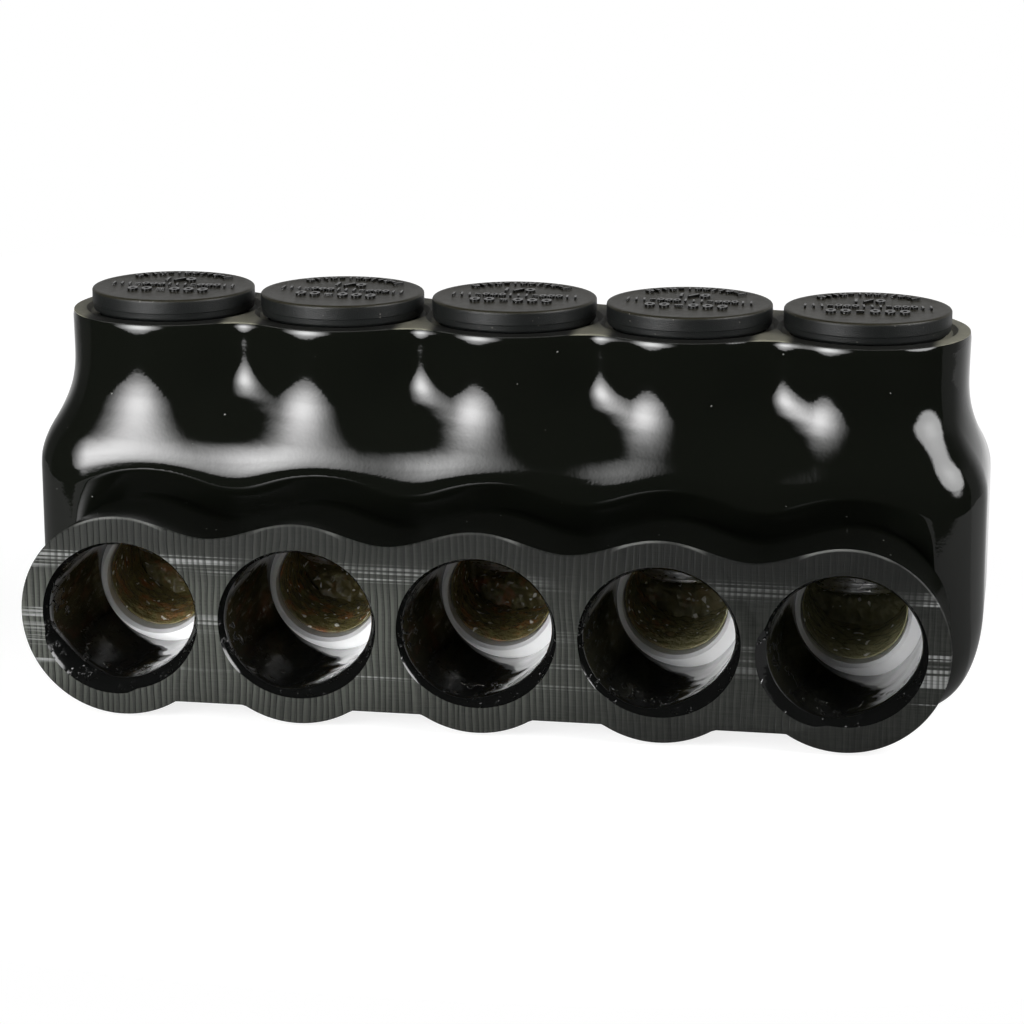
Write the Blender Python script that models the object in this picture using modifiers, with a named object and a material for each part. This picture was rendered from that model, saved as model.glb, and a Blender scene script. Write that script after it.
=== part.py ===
"""Insulated multi-tap connector: one dipped cover over an aluminium tap block, with a row of conductor
ports at the front and a row of capped set screws on top. Metres, +Z up, conductors enter along +Y."""

import math

import bmesh
import bpy
from mathutils import Matrix, Vector

# Aluminium tap block
TAPS = 5
BORE_RADIUS = 0.0132
BORE_WEB = 0.0176
BORE_END_WALL = 0.0065
BORE_CHAMFER = 0.0008
DRILL_POINT = math.radians(59)
BLOCK_DEPTH = 0.0470
BLOCK_END_WALL = 0.0108
METAL_BELOW_BORE = 0.0071
METAL_ABOVE_BORE = 0.0208
BLOCK_EDGE = 0.0040

# Set screws
SCREW_RADIUS = 0.0124
SCREW_LENGTH = 0.0250
SCREW_CHAMFER = 0.0012
TIP_HEIGHTS = (0.0030, 0.0025, 0.0028, 0.0020, 0.0011)
LOWEST_TIP = -0.0030
THREAD_CLEARANCE = 0.0003
HEX_ACROSS_FLATS = 0.0127
HEX_DEPTH = 0.0120

# Access caps
CAP_SPACING = 0.0028
CAP_LEDGE = 0.0019
CAP_THICKNESS = 0.0055
CAP_TOP_EDGE = 0.0006
CAP_UNDER_EDGE = 0.0016
PLUG_LENGTH = 0.0120
PLUG_WALL = 0.0030
PLUG_BEAD = 0.0002
PLUG_CLEARANCE = 0.0004

# Dipped cover
FIT_GAP = 0.0003
FLOOR_SKIN = 0.0050
SIDE_SKIN = 0.0072
TOWER_WALL = 0.0063
TOWER_RISE = 0.0323
TOWER_VALLEY = 0.0070
TOWER_EDGE = 0.0042
SHOULDER_START = 0.0076
SHOULDER_HEIGHT = 0.0295
COVER_CORNER = 0.0140
FOOT_INSET_X = 0.0130
FOOT_INSET_Y = 0.0060
FOOT_HEIGHT = 0.0260
SLEEVE_LENGTH = 0.0325
SLEEVE_WALL = 0.0064
SLEEVE_SIDE_WALL = 0.0055
SLEEVE_VALLEY = 0.0045
SLEEVE_FLAT_RISE = 0.0039
SLEEVE_FILLET = 0.0060
SLEEVE_ROOT = 0.0120
SEAT_RING = 0.0038

# Oxide inhibitor inside the bores
PASTE_WALL = 0.0010
PASTE_END = 0.0040
PASTE_SETBACK = 0.0040
PASTE_SCREW_GAP = 0.0008

# Facets
ROUND_STEPS = 32
SIDE_STEPS = 8
CORNER_STEPS = 4
END_STEPS = 10
CUT_PAST = 0.0020

# Places that follow from the sizes
PITCH = 2 * BORE_RADIUS + BORE_WEB
END_X = (TAPS - 1) / 2 * PITCH
TAP_X = [(i - (TAPS - 1) / 2) * PITCH for i in range(TAPS)]
CAP_RADIUS = (PITCH - CAP_SPACING) / 2
TOWER_BORE = CAP_RADIUS - CAP_LEDGE
LOBE_RADIUS = TOWER_BORE + TOWER_WALL
BLOCK_HALF_LENGTH = END_X + BORE_RADIUS + BLOCK_END_WALL
BLOCK_BOTTOM = FLOOR_SKIN + FIT_GAP
BORE_Z = BLOCK_BOTTOM + METAL_BELOW_BORE + BORE_RADIUS
BLOCK_TOP = BORE_Z + BORE_RADIUS + METAL_ABOVE_BORE
COVER_HALF_LENGTH = BLOCK_HALF_LENGTH + FIT_GAP + SIDE_SKIN
COVER_HALF_DEPTH = BLOCK_DEPTH / 2 + FIT_GAP + SIDE_SKIN
SHOULDER_BOTTOM = BLOCK_TOP - SHOULDER_START
TOWER_TOP = BLOCK_TOP + TOWER_RISE
CAP_SEAT = TOWER_TOP + FIT_GAP
FACE_Y = -(SLEEVE_LENGTH + BLOCK_DEPTH / 2 + COVER_HALF_DEPTH) / 2
BLOCK_FRONT = FACE_Y + SLEEVE_LENGTH
SCREW_Y = BLOCK_FRONT + BLOCK_DEPTH / 2
SCREW_HOLE = SCREW_RADIUS + THREAD_CLEARANCE

# Materials: name, colour, roughness, metallic
GLOSSY_BLACK = ("dipped_black", (0.012, 0.012, 0.013), 0.12, 0.0)
MATT_BLACK = ("cap_black", (0.035, 0.034, 0.032), 0.55, 0.0)
BARE_ALUMINIUM = ("bare_aluminium", (0.78, 0.79, 0.80), 0.30, 1.0)
SCREW_ALUMINIUM = ("screw_aluminium", (0.70, 0.71, 0.72), 0.35, 1.0)
BROWN_PASTE = ("inhibitor_paste", (0.075, 0.045, 0.018), 0.18, 0.0)


def clear_scene():
    """Removes the objects that the file starts with."""
    for obj in list(bpy.data.objects):
        bpy.data.objects.remove(obj)


def make_collection(name):
    """A new collection under the scene."""
    collection = bpy.data.collections.new(name)
    bpy.context.scene.collection.children.link(collection)
    return collection


def make_material(name, colour, roughness, metallic):
    """A Principled material, made once for each name."""
    material = bpy.data.materials.get(name)
    if material is None:
        material = bpy.data.materials.new(name)
        material.use_nodes = True
        shader = material.node_tree.nodes["Principled BSDF"]
        shader.inputs["Base Color"].default_value = (*colour, 1.0)
        shader.inputs["Roughness"].default_value = roughness
        shader.inputs["Metallic"].default_value = metallic
    return material


def add_object(name, mesh, collection, finish=None):
    """Puts a mesh in the scene as an object with its own material, smooth but for its sharp edges."""
    obj = bpy.data.objects.new(name, mesh)
    collection.objects.link(obj)
    if finish:
        mesh.materials.append(make_material(*finish))
        mesh.shade_smooth()
        mesh.set_sharp_from_angle(angle=math.radians(35))
    return obj


def as_cutter(obj):
    """Marks a helper that only cuts or joins."""
    obj.hide_render = True
    obj.display_type = "WIRE"
    return obj


def add_boolean(obj, other, operation="DIFFERENCE"):
    """Cuts the other shape from an object, or joins it on."""
    modifier = obj.modifiers.new(operation.lower() + "_" + other.name, "BOOLEAN")
    modifier.operation = operation
    modifier.object = other


def turned(name, profile, collection, finish=None):
    """A shape turned about its own Z axis from (radius, height) points that run down its outer side."""
    mesh = bpy.data.meshes.new(name)
    points = [(radius, 0.0, height) for radius, height in profile]
    mesh.from_pydata(points, [(i, i + 1) for i in range(len(points) - 1)], [])
    obj = add_object(name, mesh, collection, finish)
    screw = obj.modifiers.new("turn", "SCREW")
    screw.steps = ROUND_STEPS
    screw.render_steps = ROUND_STEPS
    screw.use_merge_vertices = True
    screw.merge_threshold = 0.00001
    return obj


def lay_along_bore(obj, x):
    """Points an object's +Z axis out of a port, along -Y, on the bore's centre line at the cut face."""
    obj.location = (x, FACE_Y, BORE_Z)
    obj.rotation_euler = (math.radians(90), 0.0, 0.0)


def smooth_step(t):
    """Eases from 0 to 1 as t does."""
    t = min(max(t, 0.0), 1.0)
    return t * t * (3 - 2 * t)


def lobe_dip(x, valley):
    """How far the joined lobes fall back from their crests at x: round over a tap, filleted between two."""
    half = PITCH / 2
    from_tap = abs((min(max(x, -END_X), END_X) + END_X + half) % PITCH - half)
    if valley <= 0:
        return 0.0
    fillet = (half**2 - 2 * LOBE_RADIUS * valley + valley**2) / (2 * valley)
    if from_tap <= half * LOBE_RADIUS / (LOBE_RADIUS + fillet):
        return LOBE_RADIUS - math.sqrt(LOBE_RADIUS**2 - from_tap**2)
    return valley - fillet + math.sqrt(fillet**2 - (half - from_tap) ** 2)


def row_stations():
    """X places along the row from its first tap to its last, as many for each tap."""
    count = SIDE_STEPS * (TAPS - 1)
    return [END_X * (2 * i / count - 1) for i in range(count + 1)]


def corner_arc(centre, radius, start):
    """Points of a quarter turn from an angle in degrees, each in the middle of its step."""
    angles = [math.radians(start + 90 * (i + 0.5) / CORNER_STEPS) for i in range(CORNER_STEPS)]
    return [(centre[0] + radius * math.cos(a), centre[1] + radius * math.sin(a)) for a in angles]


def plan_outline(half_length, half_depth, corner, valley):
    """The cover seen from above: a rounded oblong whose long sides dip between the taps."""
    corner = min(corner, half_depth, half_length - END_X)
    flat_x = half_length - corner
    flat_y = half_depth - corner
    front = [(x, lobe_dip(x, valley) - half_depth) for x in row_stations()]
    right = corner_arc((flat_x, -flat_y), corner, -90) + corner_arc((flat_x, flat_y), corner, 0)
    half_turn = front + right
    return half_turn + [(-x, -y) for x, y in half_turn]


def cover_section(height):
    """Half-length, half-depth, corner radius and valley depth of the cover at a height above its foot."""
    foot = min(height / FOOT_HEIGHT, 1.0)
    foot_in = 1 - math.sqrt(max(1 - (1 - foot) ** 2, 0.0))
    neck = smooth_step((height - SHOULDER_BOTTOM) / SHOULDER_HEIGHT)
    rim = max(height - (TOWER_TOP - TOWER_EDGE), 0.0) / TOWER_EDGE
    rim_in = TOWER_EDGE * (1 - math.sqrt(max(1 - rim**2, 0.0)))
    half_length = COVER_HALF_LENGTH + (END_X + LOBE_RADIUS - COVER_HALF_LENGTH) * neck
    half_depth = COVER_HALF_DEPTH + (LOBE_RADIUS - COVER_HALF_DEPTH) * neck
    corner = COVER_CORNER + (LOBE_RADIUS - COVER_CORNER) * neck
    return (
        half_length - FOOT_INSET_X * foot_in - rim_in,
        half_depth - FOOT_INSET_Y * foot_in - rim_in,
        corner - rim_in,
        TOWER_VALLEY * neck,
    )


def cover_heights():
    """Levels of the cover's sections, close together where its side curves."""
    foot = [FOOT_HEIGHT * (1 - math.sin(math.radians(a))) for a in (90, 72, 54, 36, 18, 0)]
    shoulder = [SHOULDER_BOTTOM + SHOULDER_HEIGHT * i / 7 for i in range(8)]
    rim = [TOWER_TOP - TOWER_EDGE * (1 - math.sin(math.radians(a))) for a in (0, 30, 60, 90)]
    return foot + shoulder + rim


def loft(name, sections):
    """Closed skin through sections that have as many points each, with flat ends."""
    body = bmesh.new()
    rings = [[body.verts.new(point) for point in section] for section in sections]
    count = len(rings[0])
    for low, high in zip(rings, rings[1:]):
        for i in range(count):
            j = (i + 1) % count
            body.faces.new((low[i], low[j], high[j], high[i]))
    body.faces.new(list(reversed(rings[0])))
    body.faces.new(rings[-1])
    bmesh.ops.recalc_face_normals(body, faces=body.faces)
    mesh = bpy.data.meshes.new(name)
    body.to_mesh(mesh)
    body.free()
    return mesh


def cover_envelope():
    """Outside of the cover without its port sleeves, on its foot at Z = 0."""
    sections = []
    for height in cover_heights():
        outline = plan_outline(*cover_section(height))
        sections.append([(x, SCREW_Y + y, height) for x, y in outline])
    return loft("cover_envelope", sections)


def sleeve_outline(flare):
    """The joined port sleeves seen from the front, flared at the top: waves above, lobes and flats below."""
    above = [(x, LOBE_RADIUS + flare - lobe_dip(x, SLEEVE_VALLEY)) for x in reversed(row_stations())]
    return above + sleeve_end(-1, flare) + lobes_below() + sleeve_end(1, flare)


def sleeve_end(side, flare):
    """Half round of an end sleeve, down the left side or up the right one."""
    points = []
    for i in range(1, END_STEPS):
        lift = side * (i / END_STEPS - 0.5) * math.pi
        reach = LOBE_RADIUS + flare * (1 + math.sin(lift)) / 2
        points.append((side * (END_X + reach * math.cos(lift)), reach * math.sin(lift)))
    return points


def lobes_below():
    """Lower edge of the sleeves from the first tap to the last: round under a tap, flat between two."""
    round_to = math.sqrt(LOBE_RADIUS**2 - (LOBE_RADIUS - SLEEVE_FLAT_RISE) ** 2)
    offsets = [round_to * share for share in (0, 1 / 3, 2 / 3, 1)]
    offsets += [PITCH - offset for offset in reversed(offsets[1:])]
    points = []
    for x in TAP_X[:-1]:
        for offset in offsets:
            from_tap = min(offset, PITCH - offset)
            points.append((x + offset, -math.sqrt(LOBE_RADIUS**2 - from_tap**2)))
    points.append((TAP_X[-1], -LOBE_RADIUS))
    return points


def sleeve_envelope():
    """Outside of the port sleeves, flared where they grow out of the cover."""
    skin_front = SCREW_Y - COVER_HALF_DEPTH
    stations = [(FACE_Y, 0.0)]
    for a in (0, 30, 60, 90):
        turn = math.radians(a)
        y = skin_front - SLEEVE_FILLET * (1 - math.sin(turn))
        stations.append((y, SLEEVE_FILLET * (1 - math.cos(turn))))
    stations.append((skin_front + SLEEVE_ROOT, SLEEVE_FILLET))
    sections = []
    for y, flare in stations:
        sections.append([(x, y, BORE_Z + z) for x, z in sleeve_outline(flare)])
    return loft("sleeve_envelope", sections)


def port_cutter(x, index, collection):
    """Tapered passage of one sleeve: oval at the cut face, round where it meets the block."""
    shape = bmesh.new()
    length = SLEEVE_LENGTH + 2 * CUT_PAST
    bmesh.ops.create_cone(
        shape,
        cap_ends=True,
        segments=ROUND_STEPS,
        radius1=BORE_RADIUS + SEAT_RING,
        radius2=LOBE_RADIUS - SLEEVE_WALL,
        depth=length,
        matrix=Matrix.Translation((0, 0, CUT_PAST - length / 2)),
    )
    widen = (LOBE_RADIUS - SLEEVE_SIDE_WALL) / (LOBE_RADIUS - SLEEVE_WALL)
    mouth = [v for v in shape.verts if v.co.z > 0]
    bmesh.ops.scale(shape, vec=Vector((widen, 1, 1)), verts=mouth)
    mesh = bpy.data.meshes.new(f"port_cutter_{index}")
    shape.to_mesh(mesh)
    shape.free()
    cutter = add_object(mesh.name, mesh, collection)
    lay_along_bore(cutter, x)
    return as_cutter(cutter)


def tower_cutter(x, index, collection):
    """Round well of one screw tower, from the block's top out through the rim."""
    profile = [
        (0.0, TOWER_TOP + CUT_PAST),
        (TOWER_BORE, TOWER_TOP + CUT_PAST),
        (TOWER_BORE, BLOCK_TOP - CUT_PAST),
        (0.0, BLOCK_TOP - CUT_PAST),
    ]
    cutter = turned(f"tower_cutter_{index}", profile, collection)
    cutter.location = (x, SCREW_Y, 0.0)
    return as_cutter(cutter)


def block_box(name, grow, collection, finish=None):
    """The tap block's bar with eased edges, grown on every side to make room for it."""
    size = Vector((BLOCK_HALF_LENGTH, BLOCK_DEPTH / 2, (BLOCK_TOP - BLOCK_BOTTOM) / 2))
    size += Vector((grow, grow, grow))
    bar = bmesh.new()
    bmesh.ops.create_cube(bar, size=2.0)
    bmesh.ops.scale(bar, vec=size, verts=bar.verts)
    bmesh.ops.bevel(
        bar,
        geom=bar.edges[:],
        offset=BLOCK_EDGE + grow,
        segments=2,
        profile=0.5,
        affect="EDGES",
    )
    mesh = bpy.data.meshes.new(name)
    bar.to_mesh(mesh)
    bar.free()
    obj = add_object(name, mesh, collection, finish)
    obj.location = (0.0, SCREW_Y, (BLOCK_TOP + BLOCK_BOTTOM) / 2)
    return obj


def bore_profile(radius, start, bottom):
    """A drilled hole's profile, as (radius, distance out of the port), ending in a drill point."""
    point = radius / math.tan(DRILL_POINT)
    return [(0.0, start), (radius, start), (radius, bottom + point), (0.0, bottom)]


def bore_bottom():
    """How far the drill point's tip lies from the cut face, as a negative distance out of the port."""
    return -(SLEEVE_LENGTH + BLOCK_DEPTH - BORE_END_WALL)


def make_cover(parts, cutters):
    """The dipped cover: body, sleeves and towers in one piece, hollow for the block."""
    cover = add_object("insulating_cover", cover_envelope(), parts, GLOSSY_BLACK)
    sleeves = as_cutter(add_object("sleeve_envelope", sleeve_envelope(), cutters))
    add_boolean(cover, sleeves, "UNION")
    add_boolean(cover, as_cutter(block_box("block_room", FIT_GAP, cutters)))
    for index, x in enumerate(TAP_X, 1):
        add_boolean(cover, port_cutter(x, index, cutters))
        add_boolean(cover, tower_cutter(x, index, cutters))
    return cover


def make_block(parts, cutters):
    """The tap block: a bar with a blind bore and a screw hole for each tap."""
    block = block_box("tap_block", 0.0, parts, BARE_ALUMINIUM)
    mouth = -SLEEVE_LENGTH
    for index, x in enumerate(TAP_X, 1):
        profile = [
            (0.0, mouth + CUT_PAST),
            (BORE_RADIUS + BORE_CHAMFER + CUT_PAST, mouth + CUT_PAST),
            (BORE_RADIUS, mouth - BORE_CHAMFER),
        ]
        profile += bore_profile(BORE_RADIUS, mouth, bore_bottom())[2:]
        bore = turned(f"bore_cutter_{index}", profile, cutters)
        lay_along_bore(bore, x)
        hole_profile = [
            (0.0, BLOCK_TOP + CUT_PAST),
            (SCREW_HOLE, BLOCK_TOP + CUT_PAST),
            (SCREW_HOLE, BORE_Z),
            (0.0, BORE_Z),
        ]
        hole = turned(f"screw_hole_cutter_{index}", hole_profile, cutters)
        hole.location = (x, SCREW_Y, 0.0)
        add_boolean(block, as_cutter(bore))
        add_boolean(block, as_cutter(hole))
    return block


def make_screw(x, index, parts, cutters):
    """A socket set screw, wound part of the way down into its bore."""
    half = SCREW_LENGTH / 2
    profile = [
        (0.0, half),
        (SCREW_RADIUS - SCREW_CHAMFER, half),
        (SCREW_RADIUS, half - SCREW_CHAMFER),
        (SCREW_RADIUS, SCREW_CHAMFER - half),
        (SCREW_RADIUS - SCREW_CHAMFER, -half),
        (0.0, -half),
    ]
    screw = turned(f"set_screw_{index}", profile, parts, SCREW_ALUMINIUM)
    screw.location = (x, SCREW_Y, BORE_Z + TIP_HEIGHTS[index - 1] + half)
    socket_mesh = bmesh.new()
    bmesh.ops.create_cone(
        socket_mesh,
        cap_ends=True,
        segments=6,
        radius1=HEX_ACROSS_FLATS / 2 / math.cos(math.pi / 6),
        radius2=HEX_ACROSS_FLATS / 2 / math.cos(math.pi / 6),
        depth=HEX_DEPTH + CUT_PAST,
    )
    mesh = bpy.data.meshes.new(f"socket_cutter_{index}")
    socket_mesh.to_mesh(mesh)
    socket_mesh.free()
    socket = as_cutter(add_object(mesh.name, mesh, cutters))
    socket.location = screw.location + Vector((0, 0, half - (HEX_DEPTH - CUT_PAST) / 2))
    add_boolean(screw, socket)
    return screw


def make_cap(x, index, parts):
    """An access cap: a thick disc over a hollow plug with a sealing bead. Its origin is on the seat."""
    plug = TOWER_BORE - PLUG_CLEARANCE
    bead_at = -PLUG_LENGTH / 2
    bead_half = PLUG_WALL / 3
    ease = CAP_UNDER_EDGE * (1 - math.cos(math.radians(45)))
    profile = [
        (0.0, CAP_THICKNESS),
        (CAP_RADIUS - CAP_TOP_EDGE, CAP_THICKNESS),
        (CAP_RADIUS, CAP_THICKNESS - CAP_TOP_EDGE),
        (CAP_RADIUS, CAP_UNDER_EDGE),
        (CAP_RADIUS - ease, ease),
        (CAP_RADIUS - CAP_UNDER_EDGE, 0.0),
        (plug, 0.0),
        (plug, bead_at + bead_half),
        (plug + PLUG_BEAD, bead_at),
        (plug, bead_at - bead_half),
        (plug, CAP_TOP_EDGE - PLUG_LENGTH),
        (plug - CAP_TOP_EDGE, -PLUG_LENGTH),
        (plug - PLUG_WALL, -PLUG_LENGTH),
        (plug - PLUG_WALL, 0.0),
        (0.0, 0.0),
    ]
    cap = turned(f"access_cap_{index}", profile, parts, MATT_BLACK)
    cap.location = (x, SCREW_Y, CAP_SEAT)
    return cap


def make_paste(x, index, parts, cutters):
    """Inhibitor paste lining one bore, thick at its blind end and open where the screw comes through."""
    outer = BORE_RADIUS - FIT_GAP
    inner = outer - PASTE_WALL
    mouth = -SLEEVE_LENGTH - PASTE_SETBACK
    bottom = bore_bottom() + FIT_GAP / math.sin(DRILL_POINT)
    floor = bottom + inner / math.tan(DRILL_POINT) + PASTE_END
    profile = bore_profile(outer, mouth, bottom)[1:]
    profile = [(0.0, floor), (inner, floor), (inner, mouth), *profile]
    paste = turned(f"inhibitor_paste_{index}", profile, parts, BROWN_PASTE)
    lay_along_bore(paste, x)
    path_end = BORE_Z + LOWEST_TIP - PASTE_SCREW_GAP
    path_profile = [
        (0.0, BLOCK_TOP),
        (SCREW_HOLE + PASTE_SCREW_GAP, BLOCK_TOP),
        (SCREW_HOLE + PASTE_SCREW_GAP, path_end),
        (0.0, path_end),
    ]
    path = turned(f"screw_path_cutter_{index}", path_profile, cutters)
    path.location = (x, SCREW_Y, 0.0)
    add_boolean(paste, as_cutter(path))
    return paste


def main():
    clear_scene()
    parts = make_collection("insulated_multi_tap_connector")
    cutters = make_collection("cutters")
    make_cover(parts, cutters)
    make_block(parts, cutters)
    for index, x in enumerate(TAP_X, 1):
        make_screw(x, index, parts, cutters)
        make_paste(x, index, parts, cutters)
        make_cap(x, index, parts)


main()
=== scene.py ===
"""Look of the insulated multi-tap connector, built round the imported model: dipped cover with a sawn port
face, satin caps, machined tap block, threaded set screws and wet inhibitor paste. Metres, row frame."""

import math

import bmesh
import bpy
import numpy as np
from mathutils import Matrix, Vector


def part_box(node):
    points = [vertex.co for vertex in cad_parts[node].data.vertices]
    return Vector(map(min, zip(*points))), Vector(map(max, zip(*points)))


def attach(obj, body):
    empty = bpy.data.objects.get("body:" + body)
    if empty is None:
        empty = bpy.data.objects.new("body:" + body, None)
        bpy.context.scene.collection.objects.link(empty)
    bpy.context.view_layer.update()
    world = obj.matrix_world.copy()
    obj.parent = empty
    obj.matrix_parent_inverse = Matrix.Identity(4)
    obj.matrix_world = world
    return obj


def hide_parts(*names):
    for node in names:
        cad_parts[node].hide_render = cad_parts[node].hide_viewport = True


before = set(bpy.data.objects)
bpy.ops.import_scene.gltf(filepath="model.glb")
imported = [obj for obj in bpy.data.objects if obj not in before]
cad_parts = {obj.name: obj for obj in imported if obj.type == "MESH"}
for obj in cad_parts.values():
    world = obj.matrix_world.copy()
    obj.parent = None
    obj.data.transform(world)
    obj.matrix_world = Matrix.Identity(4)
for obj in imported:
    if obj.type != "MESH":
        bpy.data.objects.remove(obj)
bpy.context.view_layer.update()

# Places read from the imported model, and the numbers of the taps
NUMBERS = range(1, 6)
COVER_LOW, COVER_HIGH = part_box("insulating_cover")
BLOCK_LOW, BLOCK_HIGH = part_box("tap_block")
CAP_BOXES = [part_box(f"access_cap_{n}") for n in NUMBERS]
SCREW_BOXES = [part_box(f"set_screw_{n}") for n in NUMBERS]
PASTE_BOXES = [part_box(f"inhibitor_paste_{n}") for n in NUMBERS]
TAP_X = [(low.x + high.x) / 2 for low, high in CAP_BOXES]
END_X = TAP_X[-1]
PITCH = TAP_X[1] - TAP_X[0]
SCREW_Y = (CAP_BOXES[0][0].y + CAP_BOXES[0][1].y) / 2
BORE_Z = (PASTE_BOXES[0][0].z + PASTE_BOXES[0][1].z) / 2
FACE_Y = COVER_LOW.y
TOP_Z = COVER_HIGH.z
CAP_TOP = CAP_BOXES[0][1].z
CAP_RADIUS = (CAP_BOXES[0][1].x - CAP_BOXES[0][0].x) / 2
BLOCK_FRONT, BLOCK_BACK = BLOCK_LOW.y, BLOCK_HIGH.y
BLOCK_TOP = BLOCK_HIGH.z
FIT_GAP, BLOCK_EDGE = 0.0003, 0.004
PASTE_RADIUS = (PASTE_BOXES[0][1].x - PASTE_BOXES[0][0].x) / 2
BORE_RADIUS = PASTE_RADIUS + FIT_GAP
SCREW_RADIUS = (SCREW_BOXES[0][1].x - SCREW_BOXES[0][0].x) / 2

# Sizes of the cover
HALF_LENGTH = COVER_HIGH.x - 0.0001
HALF_DEPTH = COVER_HIGH.y - SCREW_Y
LOBE_RADIUS = BORE_Z - 0.0006
TOWER_BORE = CAP_RADIUS - 0.0019
TOWER_VALLEY = 0.0141
RIM_DROP, RIM_INSET, RIM_POWER = 0.003, 0.0004, 3.5
CUT_EASE = 0.0003
SEAT_DEPTH, SEAT_RADIUS = 0.0009, CAP_RADIUS + 0.0004
CAP_SINK = SEAT_DEPTH - 0.0002
NECK_LEVELS = (0.056, 0.058, 0.06, 0.0625, 0.065, 0.068, 0.071, 0.074, 0.0775, 0.081, 0.085, 0.09)
NECK_SHARES = (0.0, 0.014, 0.074, 0.205, 0.369, 0.561, 0.732, 0.856, 0.934, 0.968, 0.985, 1.0)
FLARE, FLARE_FROM, FLARE_ROUND = 0.041, 0.0784, 0.0015
COLLAR_WAVE, COLLAR_FADE = 0.0046, 0.0571
UNDERCUT_FROM, UNDERCUT_ROUND, UNDERCUT_REACH = 0.0566, 0.0014, 0.0011
UNDERCUT_BACK, UNDERCUT_END, UNDERCUT_FOOT = 0.012, 0.108, 0.03
UNDERCUT_FADE, UNDERCUT_END_FADE = 0.008, 0.014
COLLAR_BACK = -0.012
VALLEY_LOW, VALLEY_RISE, VALLEY_FROM, VALLEY_OVER = 0.001, 0.0193, -0.012, 0.01
SLEEVE_TAPER = 0.05
PLAN_CORNER = 0.0165
TOWER_BULGE = 1.035
FOOT_INSET_X, FOOT_INSET_Y, FOOT_HEIGHT = 0.013, 0.006, 0.026
WEB_MIDDLE, WEB_HALF = -0.0055, 0.0156
SKIN_VOXEL = 0.0013
MOUTH_HEIGHT, MOUTH_WIDTH = 0.0186, 0.0195
WALL_AT_MOUTH, WALL_AT_SEAT = 0.0176, 0.017
LIP_DEPTH = 0.0018
LIP_BULGE, LIP_BULGE_DEPTH, LIP_BULGE_TURN, LIP_BULGE_SPREAD = 0.0016, 0.0034, 315, 70
WALL_BARREL = 0.0007
SEAT_SHIFT, SEAT_SHIFT_TURN, SEAT_SHIFT_SPREAD = 0.0029, 203, 100
# Where a knife has trimmed each mouth: direction and spread in degrees, how wide it cut and how deep
KNIFE_CUTS = (
    (237, 46, 0.0016, 0.002),
    (208, 18, 0.0003, 0.0),
    (212, 15, 0.0003, 0.0),
    (208, 15, 0.0003, 0.0),
    (212, 48, 0.0021, -0.0004),
)


def smooth_step(t):
    """Rises from 0 to 1 with level ends."""
    t = np.clip(t, 0, 1)
    return t * t * (3 - 2 * t)


def blended_min(a, b, reach):
    """Union of two distances, with the crease between them filled."""
    h = np.maximum(reach - np.abs(a - b), 0) / reach
    return np.minimum(a, b) - h * h * reach / 4


def lobes(along, across, reach):
    """Distance to a row of merged circles, one at each tap."""
    d = np.hypot(along - TAP_X[0], across) - LOBE_RADIUS
    for tap in TAP_X[1:]:
        d = blended_min(d, np.hypot(along - tap, across) - LOBE_RADIUS, reach)
    return d


def oblong(x, y, half_x, half_y, corner):
    """Distance to a rectangle with round corners."""
    qx = np.abs(x) - half_x + corner
    qy = np.abs(y) - half_y + corner
    return np.hypot(np.maximum(qx, 0), np.maximum(qy, 0)) + np.minimum(np.maximum(qx, qy), 0) - corner


def smooth_through(levels, values):
    """A smooth rising curve through a few points, level at its ends and beyond them."""
    levels, values = np.array(levels), np.array(values)
    rises = np.diff(values) / np.diff(levels)
    slopes = np.zeros(len(levels))
    slopes[1:-1] = 2 * rises[1:] * rises[:-1] / (rises[1:] + rises[:-1])

    def curve(at):
        at = np.clip(at, levels[0], levels[-1])
        place = np.clip(np.searchsorted(levels, at) - 1, 0, len(levels) - 2)
        width = levels[place + 1] - levels[place]
        t = (at - levels[place]) / width
        ends = (2 * t**3 - 3 * t**2 + 1) * values[place] + (3 * t**2 - 2 * t**3) * values[place + 1]
        leans = (t**3 - 2 * t**2 + t) * slopes[place] + (t**3 - t**2) * slopes[place + 1]
        return ends + leans * width

    return curve


# How much of the cover's plan is towers at a height, and how much is bar
neck_share = smooth_through(NECK_LEVELS, NECK_SHARES)


def body_distance(p):
    """How far points lie outside the body, with the towers that grow out of it."""
    x, y, z = p[:, 0], p[:, 1], p[:, 2]
    depth = y - SCREW_Y
    dip = (1 - np.cos((x - TAP_X[0]) / PITCH * math.tau)) / 2
    level = z + COLLAR_WAVE * dip * (1 - smooth_step((z - COLLAR_FADE) / 0.016 + 0.5))
    neck = neck_share(level)
    foot = np.clip(z / FOOT_HEIGHT, 0, 1)
    tuck = 1 - np.sqrt(np.maximum(1 - (1 - foot) ** 2, 0))
    bar = oblong(x, depth, HALF_LENGTH - FOOT_INSET_X * tuck, HALF_DEPTH - FOOT_INSET_Y * tuck, PLAN_CORNER)
    rim = np.clip((z - TOP_Z) / RIM_DROP + 1, 0, 1.2)
    towers = lobes(x, depth / TOWER_BULGE, TOWER_VALLEY) + RIM_INSET * rim**RIM_POWER
    above = z - FLARE_FROM
    towers = towers - FLARE * (above + np.hypot(above, FLARE_ROUND)) / 2
    under = np.maximum(UNDERCUT_FROM - level, 0)
    bend = np.minimum(under, UNDERCUT_REACH)
    under = (under - bend / 2) * bend / UNDERCUT_ROUND
    under = under * smooth_step((SCREW_Y - UNDERCUT_BACK - y) / UNDERCUT_FADE)
    under = under * smooth_step((UNDERCUT_END - np.abs(x)) / UNDERCUT_END_FADE)
    under = under * smooth_step((z - UNDERCUT_FOOT) / UNDERCUT_FADE)
    body = bar * (1 - neck) + towers * neck + under
    return np.maximum(body, np.maximum(z - TOP_Z - 0.004, -z))


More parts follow.
